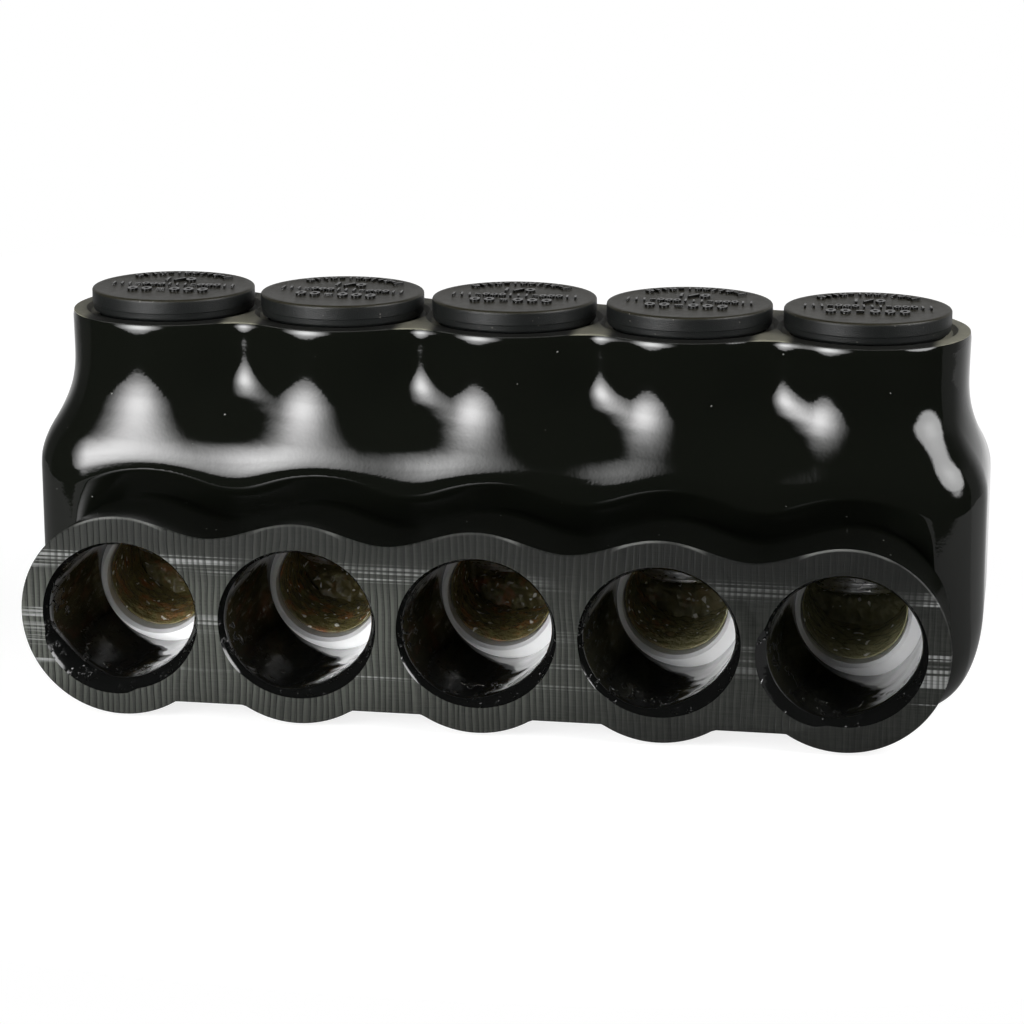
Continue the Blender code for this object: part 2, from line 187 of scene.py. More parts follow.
def sleeve_distance(p):
    """How far points lie outside the row of merged port sleeves."""
    x, y, height = p[:, 0], p[:, 1], p[:, 2] - BORE_Z
    reach = VALLEY_LOW + VALLEY_RISE * smooth_step((height - VALLEY_FROM) / VALLEY_OVER)
    web = np.maximum(np.abs(x) - END_X, np.abs(height - WEB_MIDDLE) - WEB_HALF)
    row = np.minimum(lobes(x, height, reach), web) + SLEEVE_TAPER * np.clip(y - FACE_Y, 0, 0.03)
    return np.maximum(row, y)


def slope(distance, points, step=1e-5):
    """The direction in which a distance grows."""
    sides = [distance(points + step * e) - distance(points - step * e) for e in np.eye(3)]
    return np.stack(sides, axis=1) / (2 * step)


def settle(distance, points, rounds=5, longest=0.0015):
    """Moves points onto the surface where a distance is zero."""
    for _ in range(rounds):
        gradient = slope(distance, points)
        steep = np.maximum((gradient * gradient).sum(1), 0.05)
        move = -(distance(points) / steep)[:, None] * gradient
        length = np.linalg.norm(move, axis=1, keepdims=True)
        points = points + move * np.minimum(1, longest / np.maximum(length, 1e-9))
    return points


def new_object(name, shape, place=None):
    """An object from a bmesh, which it moves into place first if need be, and then frees."""
    if place is not None:
        bmesh.ops.transform(shape, matrix=place, verts=shape.verts)
    mesh = bpy.data.meshes.new(name)
    shape.to_mesh(mesh)
    shape.free()
    obj = bpy.data.objects.new(name, mesh)
    bpy.context.scene.collection.objects.link(obj)
    return obj


def add_bar(shape, low, high):
    """A box between two corners."""
    low, high = Vector(low), Vector(high)
    place = Matrix.Translation((low + high) / 2) @ Matrix.Diagonal((*(high - low), 1))
    bmesh.ops.create_cube(shape, size=1.0, matrix=place)


def add_round(shape, sides, radius, depth, place):
    """A cylinder or prism about its own Z, put in place."""
    bmesh.ops.create_cone(
        shape, cap_ends=True, segments=sides, radius1=radius, radius2=radius, depth=depth, matrix=place
    )


def coordinates(shape):
    """A bmesh's points as an array."""
    return np.array([v.co for v in shape.verts])


def put_back(shape, points):
    """Sets a bmesh's points from an array."""
    for vertex, point in zip(shape.verts, points):
        vertex.co = point


def bake_modifiers(obj):
    """Applies an object's modifiers."""
    graph = bpy.context.evaluated_depsgraph_get()
    mesh = bpy.data.meshes.new_from_object(obj.evaluated_get(graph))
    obj.modifiers.clear()
    obj.data = mesh


def combine(obj, others, operation="DIFFERENCE"):
    """Cuts closed shapes out of an object, or joins them to it, and removes them."""
    for other in others:
        step = obj.modifiers.new("step", "BOOLEAN")
        step.object = other
        step.operation = operation
        step.solver = "MANIFOLD"
    bake_modifiers(obj)
    for other in others:
        bpy.data.objects.remove(other)


def turned(profile, steps=96):
    """A closed bmesh turned about Z from (radius, height) points, with flat ends."""
    shape = bmesh.new()
    ends = [[(0.0, height)] if radius else [] for radius, height in (profile[0], profile[-1])]
    line = [shape.verts.new((radius, 0.0, height)) for radius, height in ends[0] + profile + ends[1]]
    for one, other in zip(line, line[1:]):
        shape.edges.new((one, other))
    geom = shape.verts[:] + shape.edges[:]
    bmesh.ops.spin(
        shape, geom=geom, cent=(0, 0, 0), axis=(0, 0, 1), angle=math.tau, steps=steps, use_merge=True
    )
    bmesh.ops.remove_doubles(shape, verts=shape.verts, dist=1e-6)
    bmesh.ops.recalc_face_normals(shape, faces=shape.faces)
    return shape


def along_bore(tap):
    """Turns a shape made about Z so that its +Z runs out of a port, with its origin on the cut face."""
    return Matrix.Translation((tap, FACE_Y, BORE_Z)) @ Matrix.Rotation(math.pi / 2, 4, "X")


def in_tower(tap):
    """Moves a shape made about Z over to a tower's axis."""
    return Matrix.Translation((tap, SCREW_Y, 0))


def rounded_corner(centre, radius, start, end, steps):
    """Points of an arc for a profile, between two angles in degrees."""
    turns = np.radians(np.linspace(start, end, steps + 1))
    return [(centre[0] + radius * math.cos(a), centre[1] + radius * math.sin(a)) for a in turns]


def smooth_but_sharp(obj, degrees=32):
    """Smooth shading, broken at the sharp edges."""
    obj.data.shade_smooth()
    obj.data.set_sharp_from_angle(angle=math.radians(degrees))


def finish_piece(obj, body, slot, replaced, *materials):
    """Gives a piece its materials and its body, and hides the node that it stands for. The slot is not used.
    """
    obj.data.materials.clear()
    for material in materials:
        obj.data.materials.append(material)
    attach(obj, body)
    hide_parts(replaced)


def widen(vertex, factor):
    """Moves a vertex out from the Z axis, or in towards it."""
    vertex.co.x *= factor
    vertex.co.y *= factor


def read_array(items, label, kind=float, width=1):
    """A property of a mesh's vertices, corners or faces as an array."""
    values = np.zeros(len(items) * width, kind)
    items.foreach_get(label, values)
    return values.reshape(-1, width) if width > 1 else values


# Material nodes


def join(value, socket):
    """Links an output to an input, or sets the input to a plain value."""
    if isinstance(value, bpy.types.NodeSocket):
        socket.id_data.links.new(value, socket)
    else:
        socket.default_value = value


def add_node(tree, kind, inputs=None, **settings):
    """A shader node with its settings, and its inputs linked or set."""
    node = tree.nodes.new(kind)
    for key, value in settings.items():
        setattr(node, key, value)
    for key, value in (inputs or {}).items():
        join(value, node.inputs[key])
    return node


def calc(operation, *values):
    """The output of a Math node, in the tree of its first linked value."""
    tree = next(value.id_data for value in values if isinstance(value, bpy.types.NodeSocket))
    return add_node(tree, "ShaderNodeMath", dict(enumerate(values)), operation=operation).outputs[0]


def plus(one, other):
    """The sum of two values."""
    return calc("ADD", one, other)


def minus(one, other):
    """The difference of two values."""
    return calc("SUBTRACT", one, other)


def times(one, *others):
    """The product of two or more values."""
    for other in others:
        one = calc("MULTIPLY", one, other)
    return one


def ramp(value, low, high, to_low=0, to_high=1):
    """A value mapped smoothly from one range to another, held at its ends."""
    inputs = {0: value, 1: low, 2: high, 3: to_low, 4: to_high}
    node = add_node(value.id_data, "ShaderNodeMapRange", inputs, interpolation_type="SMOOTHSTEP")
    return node.outputs[0]


def parted(vector):
    """A vector's three parts."""
    return add_node(vector.id_data, "ShaderNodeSeparateXYZ", {0: vector}).outputs[:]


def noise(place, scale, detail=2, roughness=0.5, stretch=None):
    """The factor of a Noise texture, in cycles per metre, with the place stretched first if need be."""
    if stretch:
        place = add_node(place.id_data, "ShaderNodeMapping", {"Vector": place, "Scale": stretch}).outputs[0]
    inputs = {"Vector": place, "Scale": scale, "Detail": detail, "Roughness": roughness}
    return add_node(place.id_data, "ShaderNodeTexNoise", inputs).outputs[0]


def mixed(factor, one, other):
    """A colour between two others."""
    inputs = {0: factor, 6: one, 7: other}
    return add_node(factor.id_data, "ShaderNodeMix", inputs, data_type="RGBA").outputs[2]


def new_group(name, output, **values):
    """An empty node group that takes a place and some values, its inputs, and its one output."""
    group = bpy.data.node_groups.new(name, "ShaderNodeTree")
    group.interface.new_socket("Place", in_out="INPUT", socket_type="NodeSocketVector")
    for label, value in values.items():
        socket = group.interface.new_socket(label, in_out="INPUT", socket_type="NodeSocketFloat")
        socket.default_value = value
    group.interface.new_socket(output, in_out="OUTPUT", socket_type="NodeSocketFloat")
    return group, group.nodes.new("NodeGroupInput").outputs, group.nodes.new("NodeGroupOutput").inputs


def make_dust():
    """Specks of dust: a mask of small dots of uneven size, on some of the cells of a Voronoi pattern."""
    group, given, results = new_group("dust_specks", "Mask", Cells=500, Size=0.1, Share=0.2)
    inputs = {"Vector": given["Place"], "Scale": given["Cells"]}
    cells = add_node(group, "ShaderNodeTexVoronoi", inputs).outputs
    pick = add_node(group, "ShaderNodeSeparateColor", {0: cells["Color"]}).outputs
    chosen = calc("LESS_THAN", pick[0], given["Share"])
    size = times(given["Size"], plus(pick[1], 0.25))
    join(times(chosen, calc("LESS_THAN", cells["Distance"], size)), results[0])
    return group


def make_smears():
    """Handling marks: soft clouds and long fine scuffs that dull a gloss."""
    group, given, results = new_group("handling_marks", "Mask", Clouds=40, Scuffs=300)
    clouds = noise(given["Place"], given["Clouds"], 4, 0.6)
    scuffs = noise(given["Place"], given["Scuffs"], 3, 0.7, (0.12, 1, 1))
    join(times(ramp(clouds, 0.45, 0.75), ramp(scuffs, 0.5, 0.72)), results[0])
    return group


def make_grain():
    """Fine moulded or cast grain, as a height."""
    group, given, results = new_group("surface_grain", "Height", Fine=2500, Coarse=300, Balance=0.5)
    fine, coarse = noise(given["Place"], given["Fine"]), noise(given["Place"], given["Coarse"])
    join(add_node(group, "ShaderNodeMix", {0: given["Balance"], 2: fine, 3: coarse}).outputs[0], results[0])
    return group


DUST, SMEARS, GRAIN = make_dust(), make_smears(), make_grain()


def grouped(group, place, **values):
    """The output of a node group placed with its own values."""
    inputs = {"Place": place, **values}
    return add_node(place.id_data, "ShaderNodeGroup", inputs, node_tree=group).outputs[0]


def new_material(name, metallic=0, ior=1.5):
    """A material and its Object coordinates."""
    material = bpy.data.materials.new(name)
    material.use_nodes = True
    nodes = material.node_tree.nodes
    join(metallic, nodes["Principled BSDF"].inputs["Metallic"])
    join(ior, nodes["Principled BSDF"].inputs["IOR"])
    return material, nodes.new("ShaderNodeTexCoord").outputs["Object"]


def dressed(material, colour, roughness, height, distance):
    """Gives a material its colour, roughness and relief, a height times a distance in metres."""
    inputs = material.node_tree.nodes["Principled BSDF"].inputs
    join(colour, inputs["Base Color"])
    join(roughness, inputs["Roughness"])
    relief = add_node(material.node_tree, "ShaderNodeBump", {"Height": height, "Distance": distance})
    join(relief.outputs[0], inputs["Normal"])
    return material


def tap_offset(x):
    """How far a point is from the nearest tap, along the row."""
    share = calc("FRACT", plus(calc("DIVIDE", minus(x, TAP_X[0]), PITCH), 0.5))
    return times(minus(share, 0.5), PITCH)


def make_dipped_gloss():
    """Thick glossy dipped vinyl, with a slight orange peel and dust, duller on top of the sleeves."""
    material, place = new_material("dipped_gloss")
    _, y, z = parted(place)
    dust = grouped(DUST, place, Cells=420, Size=0.075, Share=0.1)
    smear = grouped(SMEARS, place, Clouds=34, Scuffs=420)
    topside = times(ramp(z, 0.0525, 0.051), ramp(z, 0.036, 0.043))
    handled = times(ramp(y, -0.019, -0.0215), topside)
    black = mixed(noise(place, 28, 3), (0.003, 0.0036, 0.0026, 1), (0.0046, 0.0052, 0.0038, 1))
    black = mixed(handled, black, (0.0064, 0.007, 0.0058, 1))
    dull = plus(ramp(smear, 0, 1, 0.055, 0.11), times(dust, 0.5))
    dull = plus(dull, times(handled, 0.08))
    peel = grouped(GRAIN, place, Fine=1400, Coarse=220, Balance=0.72)
    colour = mixed(dust, black, (0.16, 0.16, 0.15, 1))
    return dressed(material, colour, dull, plus(peel, times(dust, 0.4)), 0.00003)


SLAT_WIDTH = 0.0016
# Rows of scratches on the sawn face: height from the bores' middle, and half their width
SCRATCH_ROWS = ((0.015, 0.001), (0.0128, 0.0012), (0, 0.0014), (-0.0055, 0.0026), (-0.0122, 0.0007))


def saw_steps(place, x):
    """How far across its saw slat a point is, from 0 to 1. The slats wander and lean a little."""
    wander = noise(place, 26)
    uneven = noise(place, 170, 1, 0.5, (1, 1, 0.12))
    lean = plus(times(minus(wander, 0.5), 3.2), times(minus(uneven, 0.5), 1.7))
    return calc("FRACT", plus(calc("DIVIDE", x, SLAT_WIDTH), lean))


def cross_scratches(place, x, z, steps):
    """Rows of fine scratches across the slats, fainter to the right but whole again at both ends."""
    rows = 0
    for middle, half in SCRATCH_ROWS:
        off = calc("ABSOLUTE", minus(z, middle))
        rows = calc("MAXIMUM", rows, ramp(off, half * 1.4, half * 0.7))
    lines = noise(place, 1900, 1, 0.5, (0.006, 1, 1))
    ends = noise(place, 60, 2, 0.5, (0.5, 1, 2))
    stitch = times(ramp(steps, 0.06, 0.2, 0.3), ramp(steps, 0.45, 0.85, 1, 0.35))
    stitch = calc("MAXIMUM", stitch, ramp(x, -0.103, -0.107))
    faint = calc("MAXIMUM", ramp(x, -0.05, 0.04, 1, 0.3), ramp(x, 0.103, 0.107))
    return times(ramp(lines, 0.46, 0.62), ramp(ends, 0.34, 0.55), stitch, rows, faint)


def make_sawn_vinyl():
    """The sawn port face: slats painted as shaded ridges that fade to the right, scratches, a fine weave,
    painted shade that falls off to the right, top and bottom, and a painted highlight along the upper edge.
    """
    material, place = new_material("sawn_vinyl", ior=1.33)
    x, _, level = parted(place)
    z = minus(level, BORE_Z)
    steps = saw_steps(place, x)
    # Each slat is painted as shaded relief: a dark line of painted shade at its groove, then a painted lit
    # middle that fades; the same curves also give the slats their bump.
    groove_and_its_shade = ramp(steps, 0, 0.13, 1, 0)
    light = times(ramp(steps, 0.08, 0.2), ramp(steps, 0.22, 0.85, 1, 0.25))
    patch = noise(place, 45)
    depth = times(ramp(x, -0.03, 0.075, 1, 0.16), ramp(patch, 0.35, 0.6, 0.65))
    threads = noise(place, 2300, 1, 0.5, (1, 1, 0.05))
    cross = noise(place, 2600, 1, 0.5, (0.06, 1, 1))
    weave = plus(times(threads, 0.7), times(cross, 0.5))
    grain = grouped(GRAIN, place, Fine=5200, Coarse=1500, Balance=0.5)
    scratch = cross_scratches(place, x, z, steps)
    # Painted shade and light of the slats, with grain and weave added.
    shade = times(minus(light, times(groove_and_its_shade, 1.1)), depth)
    shade = plus(times(shade, 1.3), times(grain, 0.26))
    shade = plus(shade, times(minus(weave, 0.56), 0.9))
    grey = mixed(shade, (0.0026, 0.0031, 0.0024, 1), (0.06, 0.064, 0.055, 1))
    # Darker to the right, at the top and at the bottom: painted shade for the softbox's falloff across the
    # face.
    painted_falloff = times(ramp(z, 0.003, 0.02, 1, 0.3), ramp(z, -0.024, -0.012, 0.52, 1))
    painted_falloff = times(painted_falloff, ramp(x, -0.03, 0.06, 1, 0.72))
    grey = mixed(painted_falloff, (0.002, 0.0023, 0.002, 1), grey)
    grey = mixed(times(scratch, 0.9), grey, (0.22, 0.225, 0.22, 1))
    # A lighter line just inside the upper edge of each lobe: a painted highlight along the face's top edge.
    across = tap_offset(x)
    away = calc("SQRT", plus(times(across, across), times(z, z)))
    painted_edge_highlight = times(ramp(calc("ABSOLUTE", across), 0.008, 0.012, 1, 0), ramp(z, 0, 0.01))
    painted_edge_highlight = times(painted_edge_highlight, ramp(away, LOBE_RADIUS - 0.0007, LOBE_RADIUS - 0.0003))
    grey = mixed(times(painted_edge_highlight, ramp(patch, 0.35, 0.6, 0.2)), grey, (0.11, 0.112, 0.106, 1))
    height = times(minus(light, groove_and_its_shade), times(depth, 0.5))
    height = plus(plus(height, times(weave, 0.35)), times(scratch, 0.4))
    return dressed(material, grey, ramp(grain, 0.3, 0.7, 0.42, 0.6), height, 0.0002)


def make_sleeve_wall():
    """Inside of the port sleeves: very glossy, with dents near the mouth and waves at the lower right."""
    material, place = new_material("sleeve_wall")
    x, y, z = parted(place)
    marks = noise(place, 420, 2, 0.5, (1, 0.5, 1))
    dent = times(ramp(marks, 0.55, 0.62), ramp(noise(place, 95, 1), 0.42, 0.52))
    dent = times(dent, ramp(y, FACE_Y + 0.004, FACE_Y + 0.018, 1, 0))
    dust = grouped(DUST, place, Cells=700, Size=0.1, Share=0.05)
    fine = grouped(GRAIN, place, Fine=900, Coarse=260, Balance=0.8)
    side = plus(times(tap_offset(x), 0.6), times(minus(BORE_Z, z), 0.8))
    waves = noise(place, 150, 1, 0.4, (1, 0.8, 1))
    waves = times(waves, ramp(side, 0.0105, 0.0165, 0, 9))
    height = minus(plus(fine, waves), times(dent, 5))
    colour = mixed(dust, (0.004, 0.0042, 0.004, 1), (0.12, 0.12, 0.11, 1))
    return dressed(material, colour, ramp(dent, 0, 1, 0.08, 0.22), height, 0.00005)


def make_cut_rim():
    """The towers' cut tops: matte vinyl, darker round the caps as painted shade under them, and lighter grey
    in the gaps between them.
    """
    material, place = new_material("cut_rim", ior=1.35)
    share = calc("FRACT", calc("DIVIDE", minus(parted(place)[0], TAP_X[0]), PITCH))
    from_gap = calc("ABSOLUTE", minus(share, 0.5))
    grain = grouped(GRAIN, place, Fine=2600, Coarse=420, Balance=0.5)
    gap_grey = mixed(grain, (0.11, 0.107, 0.082, 1), (0.24, 0.232, 0.18, 1))
    # Dark round the caps: painted shade under their rims.
    colour = mixed(ramp(from_gap, 0.06, 0.13), gap_grey, (0.006, 0.0064, 0.005, 1))
    return dressed(material, colour, 0.6, grain, 0.0003)


def make_cap_satin():
    """Moulded cap: satin black with a fine grain, browner and lighter on top than on the side, with dust
    specks.
    """
    material, place = new_material("cap_satin", ior=1.38)
    edge = CAP_TOP - CAP_SINK
    upper = ramp(parted(place)[2], edge - 0.0007, edge - 0.0001)
    grain = grouped(GRAIN, place, Fine=3600, Coarse=500, Balance=0.35)
    dust = grouped(DUST, place, Cells=900, Size=0.16, Share=0.12)
    cloud = noise(place, 110, 3)
    top = mixed(cloud, (0.015, 0.0135, 0.0078, 1), (0.024, 0.0218, 0.0128, 1))
    side = mixed(cloud, (0.004, 0.0046, 0.0044, 1), (0.008, 0.009, 0.0086, 1))
    colour = mixed(times(dust, 0.4), mixed(upper, side, top), (0.2, 0.19, 0.17, 1))
    return dressed(material, colour, ramp(grain, 0.3, 0.7, 0.38, 0.48), grain, 0.00008)


def make_cap_marks():
    """The caps' raised marks: darker than the top as painted shade, and glossier from handling."""
    material, place = new_material("cap_marks", ior=1.45)
    grain = grouped(GRAIN, place, Fine=3600, Coarse=900, Balance=0.5)
    # Darker colour of the marks: painted shade.
    colour = mixed(grain, (0.003, 0.003, 0.0028, 1), (0.007, 0.0068, 0.006, 1))
    return dressed(material, colour, ramp(grain, 0.3, 0.7, 0.16, 0.3), grain, 0.0001)


def make_machined_aluminium():
    """The tap block's milled and drilled metal, with tool rings along each bore."""
    material, place = new_material("machined_aluminium", metallic=0.8)
    rings = noise(place, 1600, 2, 0.6, (0.01, 1, 0.01))
    streaks = noise(place, 1300, 3, 0.6, (0.05, 1, 1))
    stain = ramp(noise(place, 120, 3), 0.35, 0.8)
    colour = mixed(stain, (0.95, 0.955, 0.96, 1), (0.88, 0.88, 0.87, 1))
    return dressed(material, colour, ramp(streaks, 0.3, 0.7, 0.48, 0.6), plus(rings, streaks), 0.00003)


def make_screw_metal():
    """Bright threaded aluminium, a bit darker in worn patches."""
    material, place = new_material("screw_metal", metallic=1)
    worn = noise(place, 600, 3, 0.6, (1, 1, 3))
    colour = mixed(worn, (0.52, 0.52, 0.52, 1), (0.78, 0.78, 0.78, 1))
    return dressed(material, colour, ramp(worn, 0.3, 0.7, 0.24, 0.42), worn, 0.00005)


def make_wet_paste():
    """Oxide inhibitor: dark brown grease with amber and olive streaks, near-white spots of painted
    highlight, and lighter and greyer to the right as painted light.
    """
    material, place = new_material("wet_paste", ior=1.47)
    swirl = noise(place, 170, 3, 0.55)
    streak = noise(place, 420, 3, 0.6, (1, 0.5, 1.6))
    colour = mixed(ramp(swirl, 0.48, 0.7), (0.15, 0.128, 0.052, 1), (0.29, 0.13, 0.052, 1))
    colour = mixed(ramp(streak, 0.5, 0.75), colour, (0.22, 0.2, 0.08, 1))
    # Lighter and greyer to the right: painted light that makes up for the dimmer ports 4 and 5.
    colour = mixed(ramp(parted(place)[0], 0.015, 0.07), colour, (0.3, 0.285, 0.155, 1))
    # Near-white spots: painted highlights of a wet surface, not lit by any lamp.
    painted_glint_spots = ramp(noise(place, 610, 0), 0.7, 0.76)
    wet = times(painted_glint_spots, ramp(noise(place, 120, 0), 0.45, 0.55))
    colour = mixed(wet, colour, (1, 0.98, 0.9, 1))
    lumps = grouped(GRAIN, place, Fine=700, Coarse=330)
    return dressed(material, colour, ramp(streak, 0.3, 0.8, 0.04, 0.1), lumps, 0.0013)


GLOSS, SAWN, WALL, RIM = make_dipped_gloss(), make_sawn_vinyl(), make_sleeve_wall(), make_cut_rim()
SATIN, MARKS, METAL = make_cap_satin(), make_cap_marks(), make_machined_aluminium()
SCREW_METAL, PASTE = make_screw_metal(), make_wet_paste()

# Cover


def rough_form(name, bars, rounds):
    """Plain bars and rounds, merged by a voxel remesh, for a smooth skin to start from."""
    shape = bmesh.new()
    for low, high in bars:
        add_bar(shape, low, high)
    radius = LOBE_RADIUS - 0.0005
    for place, depth in rounds:
        add_round(shape, 48, radius, depth, place)
    rough = new_object(name, shape)
    voxels = rough.modifiers.new("voxels", "REMESH")
    voxels.mode = "VOXEL"
    voxels.voxel_size = SKIN_VOXEL
    bake_modifiers(rough)
    return rough


def cut_flat(skin, distance, place, direction):
    """Cuts the skin off flat, closes it, and eases the new edge."""
    place, direction = Vector(place), Vector(direction)
    for back, clear in ((CUT_EASE, False), (0.0, True)):
        geom, level = skin.verts[:] + skin.edges[:] + skin.faces[:], place - direction * back
        cut = bmesh.ops.bisect_plane(
            skin, geom=geom, dist=1e-6, plane_co=level, plane_no=direction, clear_outer=clear
        )["geom_cut"]
    bmesh.ops.contextual_create(skin, geom=[e for e in cut if isinstance(e, bmesh.types.BMEdge)])
    rim = [v for v in cut if isinstance(v, bmesh.types.BMVert)]
    for vertex, out in zip(rim, slope(distance, np.array([v.co for v in rim]))):
        out = Vector(out)
        vertex.co -= (out - direction * out.dot(direction)).normalized() * CUT_EASE


def refine_collar(skin):
    """Splits the body's skin finely where the front turns under, so that the turn is crisp."""
    for reach in (0.0032, 0.0022):
        skin.verts.index_update()
        points = coordinates(skin)
        off = np.abs(points[:, 2] - UNDERCUT_FROM + COLLAR_WAVE / 2)
        near = (off < COLLAR_WAVE / 2 + reach) & (points[:, 1] < COLLAR_BACK)
        edges = [e for e in skin.edges if near[e.verts[0].index] and near[e.verts[1].index]]
        bmesh.ops.subdivide_edges(skin, edges=edges, cuts=1, use_grid_fill=True)
        put_back(skin, settle(body_distance, coordinates(skin), rounds=4, longest=0.0008))


def smooth_skin(rough, distance, place, direction):
    """Settles a remeshed form onto its true surface, and cuts it off flat at one plane."""
    skin = bmesh.new()
    skin.from_mesh(rough.data)
    skin.verts.ensure_lookup_table()
    put_back(skin, settle(distance, coordinates(skin)))
    for _ in range(3):
        for _ in range(2):
            bmesh.ops.smooth_vert(
                skin, verts=skin.verts[:], factor=0.5, use_axis_x=True, use_axis_y=True, use_axis_z=True
            )
        put_back(skin, settle(distance, coordinates(skin)))
    if distance is body_distance:
        refine_collar(skin)
    points = coordinates(skin)
    points[:, 2] = np.maximum(points[:, 2], 0.0)
    put_back(skin, points)
    cut_flat(skin, distance, place, direction)
    bmesh.ops.recalc_face_normals(skin, faces=skin.faces)
    skin.to_mesh(rough.data)
    skin.free()
    return rough


def body_skin():
    """The block's jacket and the towers."""
    inset = 0.0033
    low = (-HALF_LENGTH + inset, SCREW_Y - HALF_DEPTH + 0.002, 0.001)
    high = (HALF_LENGTH - inset, SCREW_Y + HALF_DEPTH - 0.002, 0.058)
    bars = [(low, high), ((-END_X, SCREW_Y - 0.0175, 0.04), (END_X, SCREW_Y + 0.0175, TOP_Z + 0.003))]
    rounds = [(Matrix.Translation((tap, SCREW_Y, TOP_Z - 0.022)), 0.05) for tap in TAP_X]
    return smooth_skin(rough_form("cover_skin", bars, rounds), body_distance, (0, 0, TOP_Z), (0, 0, 1))


def sleeve_skin():
    """The merged port sleeves, solid until the ports are cut."""
    bars = [((-END_X, FACE_Y - 0.004, BORE_Z - 0.0205), (END_X, 0.0, BORE_Z + 0.0195))]
    level = Matrix.Rotation(math.pi / 2, 4, "X")
    rounds = [(Matrix.Translation((tap, FACE_Y + 0.0185, BORE_Z)) @ level, 0.045) for tap in TAP_X]
    return smooth_skin(rough_form("sleeves", bars, rounds), sleeve_distance, (0, FACE_Y, 0), (0, -1, 0))


def port_room(tap, knife_cut):
    """Room of one port: a tapered wall with an oval lip that a knife has trimmed wider on one side.

    The wall swells in behind the lip at the lower right, and its seat is pushed in at the lower left."""
    length = BLOCK_FRONT - FACE_Y
    profile = [
        (MOUTH_HEIGHT, 0.002),
        (MOUTH_HEIGHT, 0.0),
        (WALL_AT_MOUTH + 0.0002, -LIP_DEPTH + 0.0004),
        (WALL_AT_MOUTH, -LIP_DEPTH - 0.0004),
        *((WALL_AT_MOUTH, float(z)) for z in np.linspace(-LIP_DEPTH - 0.003, -length, 10)[:-1]),
        (WALL_AT_SEAT, -length),
        (WALL_AT_SEAT, -length - 0.002),
    ]
    shape = turned(profile)
    middle, spread, width, deep = knife_cut
    for vertex in shape.verts:
        vertex.co.x *= 1 + (MOUTH_WIDTH / MOUTH_HEIGHT - 1) * max(0, 1 + min(0.0, vertex.co.z) / length)
        radius = math.hypot(vertex.co.x, vertex.co.y)
        if radius < 0.001:
            continue
        turn = math.degrees(math.atan2(vertex.co.y, vertex.co.x)) % 360
        away = min(1, abs(turn - middle) / spread)
        share = math.sqrt(1 - away * away) * min(1, (1 - away) * 6)
        more = width * share
        if vertex.co.z < -0.0001:
            off = min(1, abs((turn - LIP_BULGE_TURN + 180) % 360 - 180) / LIP_BULGE_SPREAD)
            bulge = (1 - off * off) ** 2
            along = min(1, max(0, -vertex.co.z - LIP_DEPTH - 0.0005) / (length - LIP_DEPTH - 0.0005))
            more = (WALL_AT_SEAT - WALL_AT_MOUTH) * along if vertex.co.z > -length + 0.001 else 0.0
            more -= LIP_BULGE * bulge * (1 - along)
            more += WALL_BARREL * bulge * 4 * along * (1 - along)
            beside = min(1, abs(turn - SEAT_SHIFT_TURN) / SEAT_SHIFT_SPREAD)
            more -= SEAT_SHIFT * along * (1 - beside * beside) ** 1.2
            vertex.co.z -= LIP_BULGE_DEPTH * bulge * (1 - along) + (deep * share if along == 0 else 0.0)
        widen(vertex, 1 + more / radius)
    return new_object("port_room", shape, along_bore(tap))


def tower_well(tap):
    """Room of one tower, from the block out through the rim, with a shallow seat for the cap's flange."""
    ease = 0.0007
    profile = [
        (SEAT_RADIUS + 0.0012, TOP_Z + 0.002),
        (SEAT_RADIUS + 0.0012, TOP_Z),
        (SEAT_RADIUS, TOP_Z - SEAT_DEPTH),
        (TOWER_BORE + ease, TOP_Z - SEAT_DEPTH),
        (TOWER_BORE, TOP_Z - SEAT_DEPTH - ease),
        (TOWER_BORE, BLOCK_TOP - 0.002),
    ]
    return new_object("tower_well", turned(profile), in_tower(tap))


def eased_block(grow):
    """The tap block's bar with round edges, grown on every side."""
    shape = bmesh.new()
    more = Vector((grow, grow, grow))
    add_bar(shape, BLOCK_LOW - more, BLOCK_HIGH + more)
    ease = BLOCK_EDGE + grow
    bmesh.ops.bevel(
        shape, geom=shape.edges[:], offset=ease, segments=5, profile=0.5, affect="EDGES", material=-1
    )
    return new_object("eased_block", shape)


DIPPED, FACE, INSIDE, TOP = range(4)


def face_kinds(mesh):
    """Material index of each face: dipped outside, sawn face, inside wall or cut top."""
    centre = read_array(mesh.polygons, "center", width=3)
    kinds = np.full(len(centre), DIPPED)
    for tap in TAP_X:
        port = np.hypot(centre[:, 0] - tap, centre[:, 2] - BORE_Z) < MOUTH_WIDTH + 0.0018
        kinds[port & (centre[:, 1] < BLOCK_FRONT)] = INSIDE
        well = np.hypot(centre[:, 0] - tap, centre[:, 1] - SCREW_Y) < TOWER_BORE + 0.0004
        kinds[well & (centre[:, 2] > BLOCK_TOP - 0.001)] = INSIDE
    kinds[centre[:, 2] > TOP_Z - SEAT_DEPTH - 1e-5] = TOP
    beside = kinds == TOP
    for tap in TAP_X:
        beside &= np.hypot(centre[:, 0] - tap, centre[:, 1] - SCREW_Y) > SEAT_RADIUS + 0.0012
    kinds[beside & (centre[:, 2] < TOP_Z - CUT_EASE)] = DIPPED
    low, high = np.array(BLOCK_LOW) - 0.0006, np.array(BLOCK_HIGH) + 0.0006
    kinds[np.all((centre > low) & (centre < high), axis=1)] = INSIDE
    eased_edge = (kinds == DIPPED) & (centre[:, 1] < FACE_Y + CUT_EASE)
    kinds[eased_edge | (centre[:, 1] < FACE_Y + 1e-5)] = FACE
    return kinds


